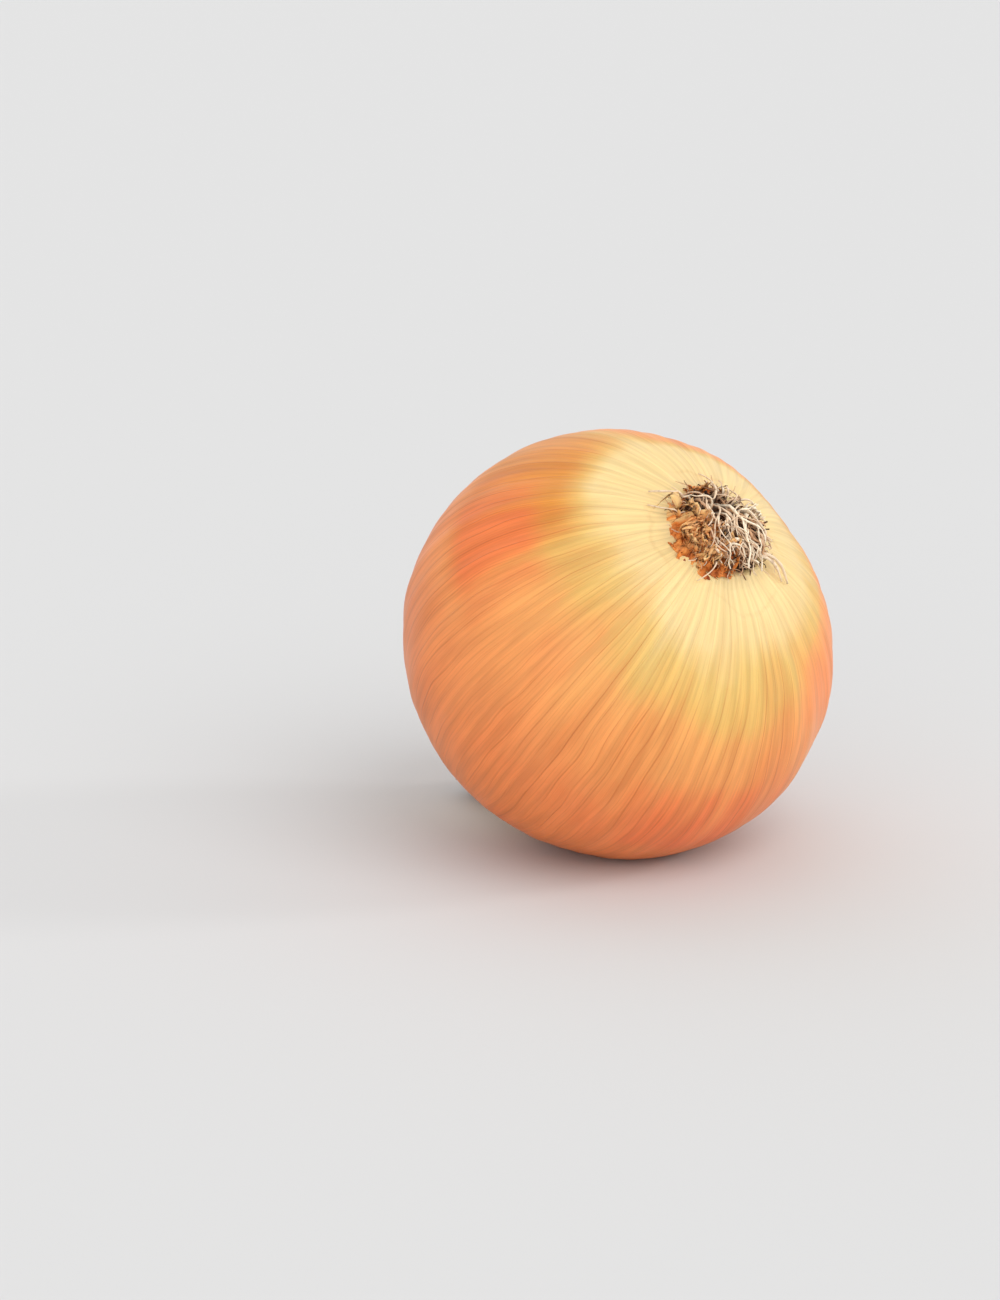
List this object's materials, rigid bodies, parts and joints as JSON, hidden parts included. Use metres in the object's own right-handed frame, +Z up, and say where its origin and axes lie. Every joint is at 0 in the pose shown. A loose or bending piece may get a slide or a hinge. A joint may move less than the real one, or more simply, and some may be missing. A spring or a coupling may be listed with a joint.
{
  "type": "brown onion",
  "caption": "Whole brown onion with dry papery skin, lying on its shoulder with its dried roots facing up and its cut dry neck behind.",
  "frame": {"origin": "centre of the small flat spot on the bulb's side that the onion rests on", "axes": "+Z up from the table; the root end points up (46.5 degrees above level) and, seen from above, 48 degrees from +X towards -Y; the neck points the opposite way"},
  "size_m": [0.0747, 0.0741, 0.0717],
  "materials": {
    "onion_skin": "satin",
    "dry_leaf": "matte",
    "dried_root": "matte"
  },
  "bodies": {
    "root": {"bulb": "onion_skin", "dry_neck": "dry_leaf", "root_tuft": "dried_root"}
  },
  "joints": []
}
